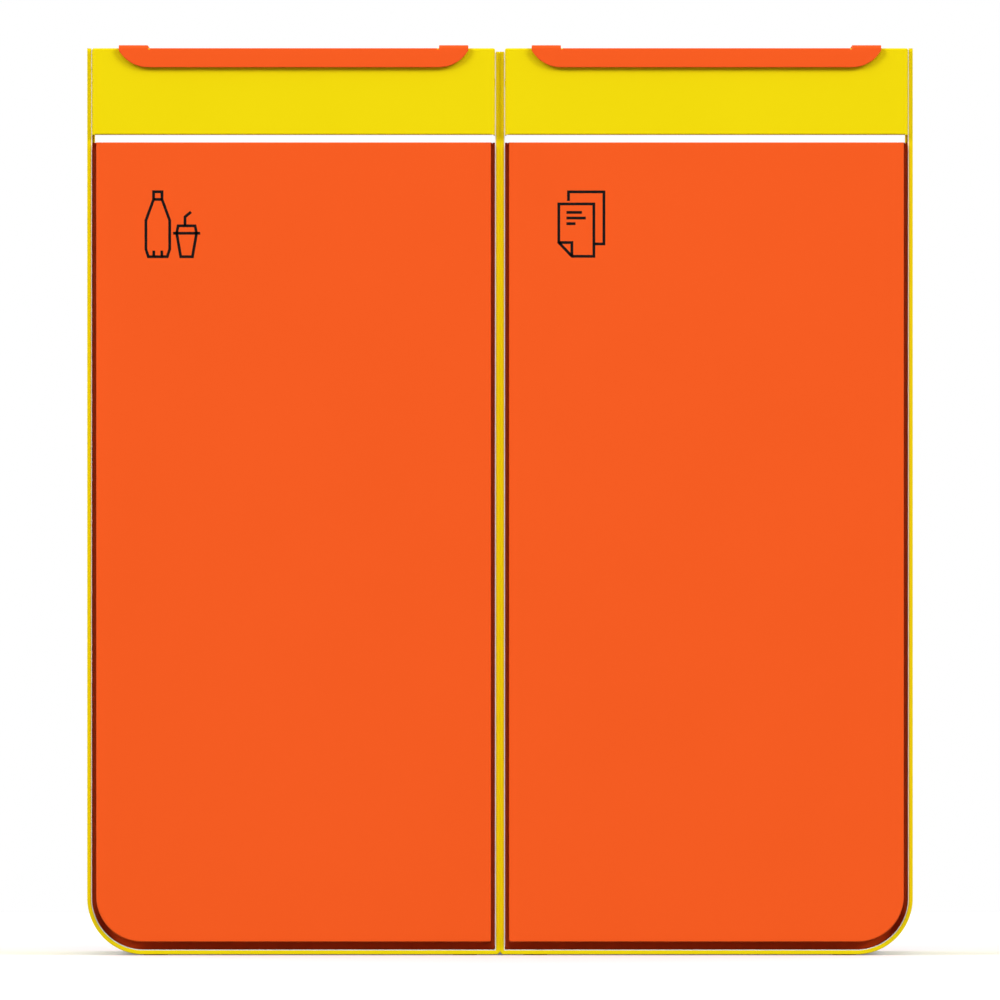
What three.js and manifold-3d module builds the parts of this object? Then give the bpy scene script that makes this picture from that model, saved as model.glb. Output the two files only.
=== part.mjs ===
// Double recycling bin: two mirrored units bolted side by side. Each unit is a folded steel sleeve that
// stands on rubber pads, a hood across its top, a hinged frame round the drop opening and an open-topped
// container that draws out to the front on two glide strips, between pale edge strips.
// Millimetres, +Z up, the front faces -Y. The origin is on the floor under the middle of the whole bin.
import * as THREE from 'three';
import { mergeVertices } from 'three/addons/utils/BufferGeometryUtils.js';
import Module from 'manifold-3d';

const wasm = await Module();
wasm.setup();

// ---- Driving dimensions of one unit ----
const unitWidth = 410;
const sleeveDepth = 400;
const bodyHeight = 900;          // underside of the sleeve to the top of the hood
const sleeveSheet = 1.5;
const hemThickness = 4;          // the sheet folded back on itself along the front and rear edges
const hemDepth = 15;
const hemRounding = 0.7;
const outerCorner = 56;          // large bend at the foot of the outer wall
const innerCorner = 4;           // tight bend at the foot of the inner wall
const innerWallDrop = 3.3;       // the walls that meet in the middle stop short of the top

const sideGap = 1;               // running gap between the sleeve's hems and what stands between them
const gripGap = 7.5;             // finger gap between the hood and the container

const hoodHeight = 86;
const hoodSheet = 1.5;
const hoodProud = 8;             // how far the hood and the front panel stand ahead of the sleeve
const hoodCorner = 2.5;
const hoodRearInset = 10;
const hoodRearLift = 10;         // the rear wall of the hood ends this much higher than the front
const hoodSideStep = 100;        // and so do its sides, from this far behind the front
const hoodReturn = 14;

const dropWidth = 289;           // drop opening
const dropFrontMargin = 35;
const dropRearMargin = 25;
const dropCorner = 18;

const frameSheet = 2;
const frameLift = 1;             // the top frame stands on bumpers this far above the hood
const frameStrap = 29;           // width of the two straps beside the drop opening
const lipHeight = 22;
const lipStandOff = 4;
const lipCorner = 33.5;
const frameBend = 3;
const reliefWidth = 2;
const reliefDepth = 1.2;

const containerSheet = 1.2;
const containerFrontInset = 20;  // front wall of the container behind the sleeve's front edge
const containerRearInset = 12;
const rimHem = 12;
const containerBend = 2.5;

const panelSideStep = 4;         // the front panel is smaller than the container at each side
const panelFootStep = 7.5;       // and at its foot
const panelCorner = 45.5;
const panelEdge = 1.2;           // rounding of the folded edges round its face
const panelFold = 2;             // tight corner at the foot
const panelFlange = 16;
const hemEndGap = 5;             // between the hem along the top of its face and its sides
const troughDepth = 28;
const troughLip = 12;
const troughDrop = 1;            // top of the trough below the rim

const padThickness = 0.8;
const padRadius = 12;
const padInset = 35;
const glideWidth = 30;
const glideInset = 40;
const glideEndGap = 6;
const glideClearance = 0.3;
const edgeStripThickness = 0.8;  // pale strip along the inside of the front hem, round the container
const edgeStripDepth = 10;
const edgeStripSet = 0.3;        // it starts this far behind the front edge
const edgeStripEnd = 0.5;        // and stops this far below the top of the wall

const stopWidth = 200;
const stopHeight = 30;
const stopSheet = 2;
const stopGap = 0.5;

const hingeLength = 240;
const hingeKnuckles = 8;
const hingeLeaf = 1.2;
const hingeRadius = 3;
const hingePinRadius = 1.5;
const hingeBore = 1.7;
const hingeLeafHeight = 16;
const knuckleGap = 0.4;
const hingeDrop = 4.5;           // pin below the foot of the rear lip

const screwShank = 2.5;
const screwHole = 2.8;
const screwHead = 5;
const screwHeadHeight = 2.4;
const bossRadius = 7;
const bossFloor = 0.6;
const boltShank = 3;
const boltHole = 3.3;
const boltHead = 7;
const boltHeadHeight = 1.8;
const fixingInset = 80;          // hood screws and coupling bolts behind the front and rear edges
const hoodScrewDrop = 32;        // below the top
const lowerBoltHeight = 120;     // above the underside of the sleeve
const upperBoltDrop = 140;       // below the top
const panelScrewDrop = 126;      // upper panel screws below the rim
const shankReach = 1;            // how far a screw stands past what it holds
const bumperRadius = 5;
const bumperHeight = 0.8;
const seat = 0.3;                // gap left between pieces that are pressed or laid together

// ---- Places worked out from them ----
const base = padThickness;
const frontEdge = -sleeveDepth / 2;
const rearEdge = sleeveDepth / 2;
const frontFace = frontEdge - hoodProud;
const lipFace = frontFace - lipStandOff - frameSheet;
const midX = unitWidth / 2;
const insideGap = hemThickness + sideGap;
const top = base + bodyHeight;
const hoodFoot = top - hoodHeight;
const hoodRear = rearEdge - hoodRearInset;
const rim = hoodFoot - gripGap;
const containerFront = frontEdge + containerFrontInset;
const containerRear = rearEdge - containerRearInset;
const dropFront = frontFace + dropFrontMargin;
const dropRear = hoodRear - dropRearMargin;
const frameWidth = dropWidth + 2 * frameStrap;
const frameUnder = top + frameLift;
const frameTop = frameUnder + frameSheet;
const lipFoot = frameTop - lipHeight;
const pinZ = lipFoot - hingeDrop;
const pinY = hoodRear + seat + hingeRadius;
const rearLipInside = hoodRear + seat + hingeLeaf + seat;

// ---- Finishes ----
const finish = (color, roughness, metalness = 0) =>
  new THREE.MeshStandardMaterial({ color, roughness, metalness });
const yellowPaint = finish(0xf3db09, 0.55);
const orangePaint = finish(0xf75e25, 0.55);
const zincSteel = finish(0xb9bcc0, 0.4, 0.8);
const greyRubber = finish(0xbdbdb9, 0.85);
const palePlastic = finish(0xe6e6e2, 0.5);

// ---- Making and combining solids ----
function solid(geometry) {
  const g = geometry.index ? geometry.toNonIndexed() : geometry;
  g.deleteAttribute('normal');
  g.deleteAttribute('uv');
  const merged = mergeVertices(g, 1e-4);
  return new wasm.Manifold(new wasm.Mesh({
    numProp: 3,
    vertProperties: merged.attributes.position.array,
    triVerts: new Uint32Array(merged.index.array),
  }));
}

function cut(body, ...tools) {
  return tools.reduce((rest, tool) => rest.subtract(tool), body);
}

function join(...bodies) {
  return bodies.reduce((sum, body) => sum.add(body));
}

function meshOf(name, body, material) {
  const made = body.getMesh();
  const geometry = new THREE.BufferGeometry();
  geometry.setAttribute('position', new THREE.BufferAttribute(new Float32Array(made.vertProperties), 3));
  geometry.setIndex(new THREE.BufferAttribute(new Uint32Array(made.triVerts), 1));
  const loose = geometry.toNonIndexed();
  loose.computeVertexNormals();
  const mesh = new THREE.Mesh(loose, material);
  mesh.name = name;
  return mesh;
}

function block(x0, x1, y0, y1, z0, z1) {
  const g = new THREE.BoxGeometry(x1 - x0, y1 - y0, z1 - z0);
  g.translate((x0 + x1) / 2, (y0 + y1) / 2, (z0 + z1) / 2);
  return solid(g);
}

// Points along an arc, for outlines that are drawn point by point.
function arc(u, v, r, from, to, steps) {
  return Array.from({ length: steps + 1 }, (_, i) => {
    const angle = from + (to - from) * (i / steps);
    return [u + r * Math.cos(angle), v + r * Math.sin(angle)];
  });
}

function polygon(points) {
  return new THREE.Shape(points.map(([u, v]) => new THREE.Vector2(u, v)));
}

const quarter = Math.PI / 2;

function roundedRectangle(u0, u1, v0, v1, r, steps = 5) {
  const corner = (u, v, turn) => arc(u, v, r, turn * quarter, (turn + 1) * quarter, steps);
  return polygon([...corner(u1 - r, v0 + r, -1), ...corner(u1 - r, v1 - r, 0),
    ...corner(u0 + r, v1 - r, 1), ...corner(u0 + r, v0 + r, 2)]);
}

// The front outline that the sleeve, the container and the front panel share: straight walls, a tight
// corner at the foot of the inner wall and a large one at the foot of the outer wall.
function uprightOutline(x0, x1, z0, z1, tight, large) {
  return polygon([[x0, z1], ...arc(x0 + tight, z0 + tight, tight, 2 * quarter, 3 * quarter, 4),
    ...arc(x1 - large, z0 + large, large, 3 * quarter, 4 * quarter, 18), [x1, z1]]);
}

// A shape drawn in X and Z, carried along Y.
function alongY(shape, y0, y1) {
  const g = new THREE.ExtrudeGeometry(shape, { depth: y1 - y0, bevelEnabled: false });
  g.rotateX(Math.PI / 2);
  g.translate(0, y1, 0);
  return solid(g);
}

// The same with its front edge rounded by the radius given.
function alongYRounded(shape, y0, y1, rounding) {
  const g = new THREE.ExtrudeGeometry(shape, {
    depth: y1 - y0 - rounding, bevelEnabled: true, bevelThickness: rounding, bevelSize: rounding,
    bevelOffset: -rounding, bevelSegments: 2,
  });
  g.rotateX(Math.PI / 2);
  g.translate(0, y1, 0);
  return cut(solid(g), block(-unitWidth, 2 * unitWidth, y1, y1 + 2 * rounding, -unitWidth, 2 * bodyHeight));
}

// A shape drawn in Y and Z, carried along X.
const yzToWorld = new THREE.Matrix4().makeBasis(
  new THREE.Vector3(0, 1, 0), new THREE.Vector3(0, 0, 1), new THREE.Vector3(1, 0, 0));

function alongX(shape, x0, x1) {
  const g = new THREE.ExtrudeGeometry(shape, { depth: x1 - x0, bevelEnabled: false });
  g.applyMatrix4(yzToWorld);
  g.translate(x0, 0, 0);
  return solid(g);
}

// A plan shape, carried up Z.
function alongZ(shape, z0, z1) {
  const g = new THREE.ExtrudeGeometry(shape, { depth: z1 - z0, bevelEnabled: false });
  g.translate(0, 0, z0);
  return solid(g);
}

function rodX(radius, x0, x1, y, z, sides = 16) {
  const g = new THREE.CylinderGeometry(radius, radius, x1 - x0, sides);
  g.rotateZ(Math.PI / 2);
  g.translate((x0 + x1) / 2, y, z);
  return solid(g);
}

function rodY(radius, y0, y1, x, z, sides = 16) {
  const g = new THREE.CylinderGeometry(radius, radius, y1 - y0, sides);
  g.translate(x, (y0 + y1) / 2, z);
  return solid(g);
}

function rodZ(radius, z0, z1, x, y, sides = 24) {
  const g = new THREE.CylinderGeometry(radius, radius, z1 - z0, sides);
  g.rotateX(Math.PI / 2);
  g.translate(x, y, (z0 + z1) / 2);
  return solid(g);
}

const leastRadius = 0.4;
const lap = 0.1;                 // how far joined solids run into each other
function sleeveOutline(inset, z1) {
  return uprightOutline(inset, unitWidth - inset, base + inset, z1,
    Math.max(innerCorner - inset, leastRadius), outerCorner - inset);
}

const containerInset = insideGap;
function containerOutline(inset, z1) {
  const from = containerInset + inset;
  return uprightOutline(from, unitWidth - from, base + from, z1,
    Math.max(containerBend - inset, leastRadius), outerCorner - from);
}

function panelOutline(inset, z1) {
  const x0 = containerInset + panelSideStep + inset;
  return uprightOutline(x0, unitWidth - x0, base + containerInset + panelFootStep + inset, z1,
    Math.max(panelFold - inset, leastRadius), panelCorner - inset);
}

// ---- Fixings ----
const fixingYs = { front: frontEdge + fixingInset, rear: rearEdge - fixingInset };
const hoodScrewZ = top - hoodScrewDrop;
const boltZs = { lower: base + lowerBoltHeight, upper: top - upperBoltDrop };
const containerFloor = base + containerInset;
const panelInside = containerInset + panelSideStep + containerSheet;
const panelScrewPlaces = {
  upper_inner: [panelInside + panelFlange / 2, rim - panelScrewDrop],
  upper_outer: [unitWidth - panelInside - panelFlange / 2, rim - panelScrewDrop],
  lower: [midX, containerFloor + panelFootStep + containerSheet + panelFlange / 2],
};

// ---- Pieces of the sleeve ----
function sleeve() {
  const over = top + hemThickness;
  const inside = sleeveSheet;
  let body = cut(alongY(sleeveOutline(0, top), frontEdge + hemDepth, rearEdge - hemDepth),
    alongY(sleeveOutline(inside, over), frontEdge, rearEdge));
  const hemEnd = frontEdge + hemDepth;
  const frontHem = cut(alongYRounded(sleeveOutline(0, top + hemRounding), frontEdge, hemEnd, hemRounding),
    alongY(sleeveOutline(hemThickness, over), frontEdge - 1, rearEdge),
    block(-1, unitWidth + 1, frontEdge - 1, rearEdge, top, over));
  const rearHem = cut(alongY(sleeveOutline(0, top), rearEdge - hemDepth, rearEdge),
    alongY(sleeveOutline(hemThickness, over), frontEdge - 1, rearEdge + 1));
  body = join(body, frontHem, rearHem);
  const bossFoot = sleeveSheet - lap;
  const bossTop = insideGap - seat;
  const blindEnd = sleeveSheet + bossFloor;
  for (const y of Object.values(fixingYs)) {
    body = join(body, rodX(bossRadius, bossFoot, bossTop, y, hoodScrewZ),
      rodX(bossRadius, unitWidth - bossTop, unitWidth - bossFoot, y, hoodScrewZ));
    body = cut(body, rodX(screwHole, blindEnd, unitWidth - blindEnd, y, hoodScrewZ));
    for (const z of Object.values(boltZs)) body = cut(body, rodX(boltHole, -1, hemThickness, y, z));
  }
  return cut(body, block(-1, insideGap, frontEdge - 1, rearEdge + 1, top - innerWallDrop, over));
}

function pad(x, y) {
  return rodZ(padRadius, 0, padThickness, x, y);
}

function glide(x) {
  const half = sleeveDepth / 2 - hemDepth - glideEndGap;
  const plan = roundedRectangle(x, x + glideWidth, -half, half, 6);
  return alongZ(plan, base + sleeveSheet, containerFloor - glideClearance);
}

function edgeStrip() {
  const y0 = frontEdge + edgeStripSet;
  const innerTop = top - innerWallDrop - edgeStripEnd;
  const strip = cut(alongY(sleeveOutline(hemThickness, top - edgeStripEnd), y0, y0 + edgeStripDepth),
    alongY(sleeveOutline(hemThickness + edgeStripThickness, top), y0 - 1, y0 + edgeStripDepth + 1));
  return cut(strip, block(-1, insideGap, y0 - 1, y0 + edgeStripDepth + 1, innerTop, top));
}

function rearStop() {
  const y0 = containerRear + stopGap;
  const z0 = base + hemThickness;
  const section = polygon([[y0, z0], [rearEdge - 1, z0], [rearEdge - 1, z0 + stopSheet],
    [y0 + stopSheet, z0 + stopSheet], [y0 + stopSheet, z0 + stopHeight], [y0, z0 + stopHeight]]);
  return alongX(section, midX - stopWidth / 2, midX + stopWidth / 2);
}

function couplingBolt(y, z) {
  const grip = sleeveSheet;
  const end = grip + boltHeadHeight;
  return join(rodX(boltShank, -grip - lap, grip + lap, y, z), rodX(boltHead, grip, end, y, z, 20),
    rodX(boltHead, -end, -grip, y, z, 20));
}

// ---- Hood ----
function hood() {
  const x0 = insideGap;
  const x1 = unitWidth - insideGap;
  const t = hoodSheet;
  const outside = alongZ(roundedRectangle(x0, x1, frontFace, hoodRear, hoodCorner), hoodFoot, top);
  const inside = alongZ(roundedRectangle(x0 + t, x1 - t, frontFace + t, hoodRear - t, hoodCorner - t),
    hoodFoot - 1, top - t);
  const dropX = (unitWidth - dropWidth) / 2;
  const dropPlan = roundedRectangle(dropX, unitWidth - dropX, dropFront, dropRear, dropCorner);
  const drop = alongZ(dropPlan, top - 2 * t, top + 1);
  const rearFoot = hoodFoot + hoodRearLift;
  const rearCut = block(x0 - 1, x1 + 1, frontFace + hoodSideStep, hoodRear + 1, hoodFoot - 1, rearFoot);
  const left = x0 + t - lap;
  const right = x1 - t + lap;
  const frontReturn = block(left, right, frontFace + t - lap, frontFace + hoodReturn, hoodFoot, hoodFoot + t);
  const rearReturn = block(left, right, hoodRear - hoodReturn, hoodRear - t + lap, rearFoot, rearFoot + t);
  let body = join(cut(outside, inside, drop, rearCut), frontReturn, rearReturn);
  for (const y of Object.values(fixingYs)) body = cut(body, rodX(screwHole, 0, unitWidth, y, hoodScrewZ));
  return body;
}

function hoodScrew(y, outer) {
  const head = insideGap + hoodSheet;
  const shank = sleeveSheet + bossFloor + seat;
  const screw = join(rodX(screwShank, shank, head + lap, y, hoodScrewZ),
    rodX(screwHead, head, head + screwHeadHeight, y, hoodScrewZ, 20));
  return outer ? screw.mirror([1, 0, 0]).translate([unitWidth, 0, 0]) : screw;
}

// ---- Top frame and its hinge ----
// Section of the bent sheet: front lip, top and rear lip, with round bends.
function frameSection() {
  const y0 = lipFace;
  const y1 = rearLipInside + frameSheet;
  const r = frameBend;
  const t = frameSheet;
  const bend = frameTop - r;
  return polygon([[y0, lipFoot], [y0 + t, lipFoot], ...arc(y0 + r, bend, r - t, 2 * quarter, quarter, 3),
    ...arc(y1 - r, bend, r - t, quarter, 0, 3), [y1 - t, lipFoot], [y1, lipFoot],
    ...arc(y1 - r, bend, r, 0, quarter, 4), ...arc(y0 + r, bend, r, quarter, 2 * quarter, 4)]);
}

// Front outline of the frame: upright ends, and a large arc run into each lower corner of the lips.
function frameOutline() {
  const half = frameWidth / 2;
  const straight = half - frameStrap;
  const end = Math.asin(frameStrap / lipCorner);
  const centre = lipFoot + lipCorner;
  return polygon([[midX - half, frameTop + 1],
    ...arc(midX - straight, centre, lipCorner, -quarter - end, -quarter, 8),
    ...arc(midX + straight, centre, lipCorner, -quarter, -quarter + end, 8), [midX + half, frameTop + 1]]);
}

function topFrame() {
  const x0 = midX - dropWidth / 2;
  const x1 = midX + dropWidth / 2;
  const sheet = alongX(frameSection(), midX - frameWidth / 2 - 1, midX + frameWidth / 2 + 1);
  const outline = alongY(frameOutline(), lipFace - 1, rearEdge);
  const window = block(x0, x1, lipFace - 1, rearEdge, top, frameTop + 1);
  const relief = (x) => block(x, x + reliefWidth, lipFace - 1, rearEdge, top - reliefDepth, top + 1);
  return cut(sheet.intersect(outline), window, relief(x0), relief(x1 - reliefWidth));
}

// Knuckles of one leaf: every second one along the pin.
function knuckles(first) {
  const pitch = hingeLength / hingeKnuckles;
  const from = midX - hingeLength / 2;
  const made = [];
  for (let i = first; i < hingeKnuckles; i += 2) {
    made.push(rodX(hingeRadius, from + i * pitch + knuckleGap / 2, from + (i + 1) * pitch - knuckleGap / 2,
      pinY, pinZ, 16));
  }
  return made;
}

function hingeLeafSolid(first, z0, z1) {
  const pitch = hingeLength / hingeKnuckles;
  const from = midX - hingeLength / 2;
  const y0 = pinY - hingeRadius;
  const bore = rodX(hingeBore, from - 1, from + hingeLength + 1, pinY, pinZ, 16);
  let leaf = block(from, from + hingeLength, y0, y0 + hingeLeaf, z0, z1);
  for (let i = 1 - first; i < hingeKnuckles; i += 2) {
    const clear = hingeRadius + knuckleGap;
    leaf = cut(leaf, block(from + i * pitch - knuckleGap / 2, from + (i + 1) * pitch + knuckleGap / 2,
      y0 - 1, y0 + hingeLeaf + 1, pinZ - clear, pinZ + clear));
  }
  return cut(join(leaf, ...knuckles(first)), bore);
}

function fixedLeaf() {
  return hingeLeafSolid(0, pinZ - hingeRadius - hingeLeafHeight, pinZ);
}

function movingLeaf() {
  return hingeLeafSolid(1, pinZ, pinZ + hingeRadius + hingeLeafHeight);
}

function hingePin() {
  const from = midX - hingeLength / 2;
  return rodX(hingePinRadius, from - 1, from + hingeLength + 1, pinY, pinZ, 16);
}

function bumper(x, y) {
  return rodZ(bumperRadius, top, top + bumperHeight, x, y, 20);
}

// ---- Container ----
// Sides and bottom from one sheet, folded over along the rim. The end walls are welded over its edges.
function containerWrap() {
  const t = containerSheet;
  const y0 = containerFront + t + seat;
  const y1 = containerRear - t - seat;
  const body = cut(alongY(containerOutline(0, rim), y0, y1),
    alongY(containerOutline(t, rim + 1), y0 - 1, y1 + 1));
  const x0 = containerInset + t;
  const hem = (x) => block(x - lap, x + t + lap, y0 + t + seat, y1 - t - seat, rim - rimHem, rim);
  return join(body, hem(x0), hem(unitWidth - x0 - t));
}

// An end wall: a plate with the container's outline, and the fold along its rim on the side towards the
// inside. Its outer face is at y, and inwards is 1 or -1 along Y.
function endWall(y, inwards) {
  const between = (from, to) => [y + inwards * from, y + inwards * to].sort((a, b) => a - b);
  const t = containerSheet;
  const hemInset = containerInset + 2 * t + seat;
  const plate = alongY(containerOutline(0, rim), ...between(0, t));
  const hem = block(hemInset, unitWidth - hemInset, ...between(t - lap, 2 * t), rim - rimHem, rim);
  return join(plate, hem);
}

function frontWall() {
  let body = endWall(containerFront, 1);
  for (const [x, z] of Object.values(panelScrewPlaces)) {
    body = cut(body, rodY(screwHole, containerFront - 1, containerFront + containerSheet + 1, x, z));
  }
  return body;
}

function backWall() {
  return endWall(containerRear, -1);
}

// The front panel is a pan: face, sides and foot from one sheet, with a flange behind that the screws hold.
function frontPanel() {
  const t = containerSheet;
  const back = containerFront - seat;
  const outside = alongYRounded(panelOutline(0, rim + panelEdge), frontFace, back, panelEdge);
  const hollow = alongY(panelOutline(t, rim + 2), frontFace + t, back - t);
  const behind = alongY(panelOutline(t + panelFlange, rim + 2), back - 2 * t, back + 1);
  let body = cut(outside, hollow, behind, block(0, unitWidth, frontFace - 1, back + 1, rim, rim + 10));
  const hemX = panelInside + hemEndGap;
  body = join(body, block(hemX, unitWidth - hemX, frontFace + t - lap, frontFace + 2 * t, rim - rimHem, rim));
  for (const [x, z] of Object.values(panelScrewPlaces)) {
    body = cut(body, rodY(screwHole, back - 3 * t, back + 1, x, z));
  }
  const troughFoot = rim - troughDepth - 2 * t;
  return cut(body, block(panelInside, unitWidth - panelInside, back - 2 * t, back + 1, troughFoot, rim + 1));
}

// Finger trough behind the top of the front panel: a channel that closes the pan.
function gripTrough() {
  const t = containerSheet;
  const y0 = frontFace + t + seat;
  const y1 = containerFront - 2 * seat;
  const floor = rim - troughDepth;
  const high = rim - troughDrop;
  const section = polygon([[y0, floor], [y1, floor], [y1, high], [y1 - t, high], [y1 - t, floor + t],
    [y0 + t, floor + t], [y0 + t, floor + troughLip], [y0, floor + troughLip]]);
  return alongX(section, panelInside + seat, unitWidth - panelInside - seat);
}

function panelScrew(x, z) {
  const head = containerFront + containerSheet;
  const end = containerFront - seat - containerSheet - shankReach;
  return join(rodY(screwShank, end, head + lap, x, z),
    rodY(screwHead, head, head + screwHeadHeight, x, z, 20));
}

// ---- Assembly ----
function unit(side) {
  const group = new THREE.Group();
  const add = (name, body, material) => group.add(meshOf(`${side}_${name}`, body, material));
  add('sleeve', sleeve(), yellowPaint);
  const padXs = { inner: padInset, outer: unitWidth - outerCorner - padRadius };
  const padYs = { front: frontEdge + padInset, rear: rearEdge - padInset };
  for (const [nearFar, y] of Object.entries(padYs)) {
    for (const [inOut, x] of Object.entries(padXs)) {
      add(`${nearFar}_${inOut}_foot_pad`, pad(x, y), greyRubber);
    }
  }
  add('inner_glide_strip', glide(glideInset), palePlastic);
  add('outer_glide_strip', glide(unitWidth - outerCorner - glideWidth), palePlastic);
  add('edge_strip', edgeStrip(), palePlastic);
  add('rear_stop', rearStop(), yellowPaint);
  add('hood', hood(), yellowPaint);
  for (const [place, y] of Object.entries(fixingYs)) {
    add(`${place}_inner_hood_screw`, hoodScrew(y, false), zincSteel);
    add(`${place}_outer_hood_screw`, hoodScrew(y, true), zincSteel);
  }
  add('top_frame', topFrame(), orangePaint);
  add('hinge_fixed_leaf', fixedLeaf(), zincSteel);
  add('hinge_moving_leaf', movingLeaf(), zincSteel);
  add('hinge_pin', hingePin(), zincSteel);
  const bumperOut = (dropWidth + frameStrap) / 2;
  add('inner_bumper', bumper(midX - bumperOut, dropFront), greyRubber);
  add('outer_bumper', bumper(midX + bumperOut, dropFront), greyRubber);
  add('container_wrap', containerWrap(), orangePaint);
  add('container_front_wall', frontWall(), orangePaint);
  add('container_back_wall', backWall(), orangePaint);
  add('front_panel', frontPanel(), orangePaint);
  add('grip_trough', gripTrough(), orangePaint);
  for (const [place, [x, z]] of Object.entries(panelScrewPlaces)) {
    add(`${place}_panel_screw`, panelScrew(x, z), zincSteel);
  }
  return group;
}

const bin = new THREE.Group();
bin.add(unit('right'));
const leftUnit = unit('left');
leftUnit.scale.x = -1;
bin.add(leftUnit);
for (const [place, y] of Object.entries(fixingYs)) {
  for (const [level, z] of Object.entries(boltZs)) {
    bin.add(meshOf(`${place}_${level}_coupling_bolt`, couplingBolt(y, z), zincSteel));
  }
}
bin.position.y = -(lipFace + rearEdge) / 2;

export default bin;
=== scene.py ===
# Double recycling bin in powder-coated sheet steel: two yellow housings bolted side by side, each with a
# hinged orange top frame and an orange container that draws out to the front.
# Shapes are worked out in millimetres for the right-hand unit, and mirrored for the left-hand one.
import math

import bmesh
import bpy
import numpy as np
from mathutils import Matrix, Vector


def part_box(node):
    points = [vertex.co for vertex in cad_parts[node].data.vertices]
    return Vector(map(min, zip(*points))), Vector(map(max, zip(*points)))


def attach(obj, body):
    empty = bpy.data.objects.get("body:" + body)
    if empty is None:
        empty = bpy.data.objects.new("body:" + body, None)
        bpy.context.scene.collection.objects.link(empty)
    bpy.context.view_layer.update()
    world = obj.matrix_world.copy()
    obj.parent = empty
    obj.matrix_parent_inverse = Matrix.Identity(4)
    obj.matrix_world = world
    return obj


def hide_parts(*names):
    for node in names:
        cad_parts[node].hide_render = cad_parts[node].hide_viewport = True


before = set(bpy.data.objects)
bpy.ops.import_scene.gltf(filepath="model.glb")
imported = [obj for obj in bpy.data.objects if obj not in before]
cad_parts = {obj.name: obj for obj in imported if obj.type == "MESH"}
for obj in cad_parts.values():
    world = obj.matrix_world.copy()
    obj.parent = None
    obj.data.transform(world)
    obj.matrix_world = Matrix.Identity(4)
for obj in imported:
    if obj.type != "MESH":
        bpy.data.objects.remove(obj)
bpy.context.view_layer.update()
print("CAD frame loaded")

pi = math.pi


# Lowest and highest corner of a CAD node, in millimetres.
def cadBox(node):
    low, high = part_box(node)
    return 1000 * np.array(low), 1000 * np.array(high)


# sRGB hex to linear: (c + 0.055) / 1.055 to the power 2.4, or c / 12.92 for the darkest values.
def linear(code):
    c = np.array([int(code[i:i + 2], 16) for i in (0, 2, 4)]) / 255
    return (*np.where(c > 0.04045, ((c + 0.055) / 1.055) ** 2.4, c / 12.92), 1.0)


# Adds a node: values go to its settings or inputs, and sockets are linked.
def addNode(tree, kind, inputs=None, **settings):
    node = tree.nodes.new(kind)
    for key, value in settings.items():
        setattr(node, key, value)
    for key, value in (inputs or {}).items():
        if isinstance(value, bpy.types.NodeSocket):
            tree.links.new(value, node.inputs[key])
        else:
            node.inputs[key].default_value = value
    return node


# Quads between neighbouring rows and columns of a grid of points, closed either way if asked.
def gridQuads(rows, columns, closeRows=False, closeColumns=False):
    index = np.arange(rows * columns).reshape(rows, columns)
    index = np.vstack([index, index[:1]]) if closeRows else index
    index = np.hstack([index, index[:, :1]]) if closeColumns else index
    return np.stack([index[:-1, :-1], index[1:, :-1], index[1:, 1:], index[:-1, 1:]], -1).reshape(-1, 4)


# Closed outline with rounded corners: each arc touches both edges at radius / tan(half the angle) from the
# corner, and its points turn evenly from the first touching point to the second.
def roundCorners(corners, radii, steps=5):
    corners = np.asarray(corners, float)
    radii = np.broadcast_to(np.asarray(radii, float), len(corners))[:, None]
    back = np.roll(corners, 1, 0) - corners
    on = np.roll(corners, -1, 0) - corners
    back /= np.linalg.norm(back, axis=1, keepdims=True)
    on /= np.linalg.norm(on, axis=1, keepdims=True)
    half = np.arccos(np.clip((back * on).sum(1, keepdims=True), -1, 1)) / 2
    middle = (back + on) / np.linalg.norm(back + on, axis=1, keepdims=True)
    centre = corners + middle * radii / np.sin(half)
    reach = radii / np.tan(half)
    start = corners + back * reach - centre
    end = corners + on * reach - centre
    turn = (pi - 2 * half)[:, None]
    t = np.linspace(0, 1, steps + 1)[None, :, None]
    arcs = (start[:, None] * np.sin((1 - t) * turn) + end[:, None] * np.sin(t * turn)) / np.sin(turn)
    return (centre[:, None] + arcs).reshape(-1, 2)


# Joins shapes, each a pair of points and faces, into one: the faces' numbers go up by the points before them.
def merged(*shapes):
    starts = np.cumsum([0] + [len(points) for points, faces in shapes])
    faces = [[int(i) + first for i in face] for (points, some), first in zip(shapes, starts) for face in some]
    return np.vstack([points for points, some in shapes]), faces


# Points nearer than the weld distance become one and edges shorter than a sliver go, both in metres. Edges
# that turn by more than the crease are shaded sharp, and those that turn by more than the bevel angle can be
# rounded in so many steps, with both angles in degrees.
meshFinish = {"weld": 2e-6, "sliver": 1e-7, "crease": 38, "bevelAngle": 50, "bevelSteps": 3}


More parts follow.
